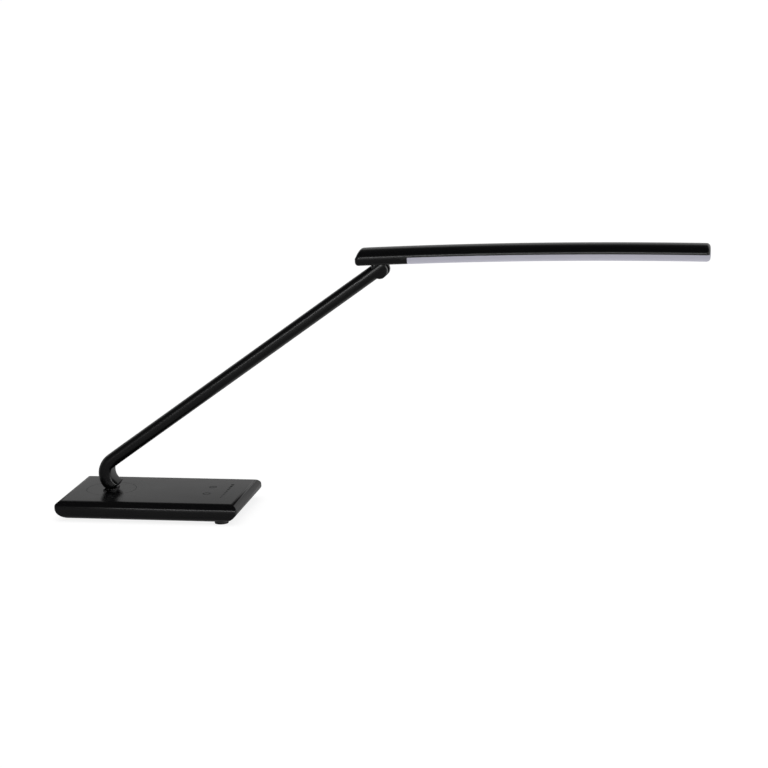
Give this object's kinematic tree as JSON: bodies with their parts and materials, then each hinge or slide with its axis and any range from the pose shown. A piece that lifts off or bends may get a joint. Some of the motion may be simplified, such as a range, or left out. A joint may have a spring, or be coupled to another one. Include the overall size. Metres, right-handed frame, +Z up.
{
  "type": "folding desk lamp",
  "caption": "Folding LED desk lamp: flat rounded base with touch controls, swivel disc, hooked arm, two friction hinges and a long slim tilting head",
  "frame": {"origin": "on the swivel's axis at the table top, in the middle of the round rubber pad under the base", "axes": "+X runs along the base towards its touch controls, the way the arm leans and the head points, +Y is towards the back of the lamp, +Z is up"},
  "size_m": [0.6977, 0.119, 0.2961],
  "materials": {
    "black_plastic": "satin moulded ABS, black",
    "black_aluminium": "extruded tube, satin black anodised",
    "frosted_plastic": "frosted translucent polycarbonate",
    "foot_rubber": "dark grey moulded rubber",
    "ballast_iron": "cut plate, bare",
    "zinc_steel": "zinc plated",
    "plain_aluminium": "bare sheet",
    "white_plastic": "natural acetal",
    "circuit_board": "green solder mask",
    "white_circuit_board": "white solder mask",
    "led_phosphor": "yellow phosphor in silicone",
    "lead_jacket": "dark vinyl wire jacket"
  },
  "bodies": {
    "base": {"base_cover": "black_plastic", "base_tray": "black_plastic", "ballast_plate": "ballast_iron", "base_feet": "foot_rubber", "swivel_pad": "foot_rubber", "base_screws": "zinc_steel", "touch_board": "circuit_board", "driver_board": "circuit_board", "board_standoffs": "white_plastic", "power_socket": "black_plastic", "base_lead": "lead_jacket", "swivel_glide_washer": "white_plastic"},
    "turntable": {"swivel_disc": "black_plastic", "swivel_spindle": "zinc_steel", "swivel_clamp_washer": "zinc_steel", "swivel_spring_washer": "zinc_steel", "swivel_nut": "zinc_steel", "hinge_cradle": "black_plastic", "cradle_screws": "zinc_steel", "lower_hinge_pin": "zinc_steel", "spindle_lead": "lead_jacket"},
    "arm": {"arm_hook": "black_plastic", "arm_tube": "black_aluminium", "arm_knuckle": "black_plastic", "arm_set_screws": "zinc_steel", "lower_friction_washers": "white_plastic", "upper_friction_washers": "white_plastic", "lower_pin_cap": "black_plastic", "upper_pin_cap": "black_plastic", "arm_lead": "lead_jacket"},
    "head": {"head_cover": "black_plastic", "head_housing": "black_plastic", "diffuser_stop": "black_plastic", "diffuser": "frosted_plastic", "heat_spreader": "plain_aluminium", "led_board": "white_circuit_board", "leds": "led_phosphor", "head_bracket": "zinc_steel", "upper_hinge_pin": "zinc_steel", "bracket_screws": "zinc_steel", "spreader_screws": "zinc_steel", "head_lead": "lead_jacket"}
  },
  "joints": [
    {"name": "swivel", "type": "hinge", "parent": "base", "child": "turntable", "pos_m": [0, 0, 0], "axis": [0, 0, 1], "range_deg": [-90, 90]},
    {"name": "arm_tilt", "type": "hinge", "parent": "turntable", "child": "arm", "pos_m": [0, 0, 0.033], "axis": [0, 1, 0], "range_deg": [-45, 34]},
    {"name": "head_tilt", "type": "hinge", "parent": "arm", "child": "head", "pos_m": [0.30724, 0, 0.26675], "axis": [0, 1, 0], "range_deg": [-15, 120]}
  ]
}
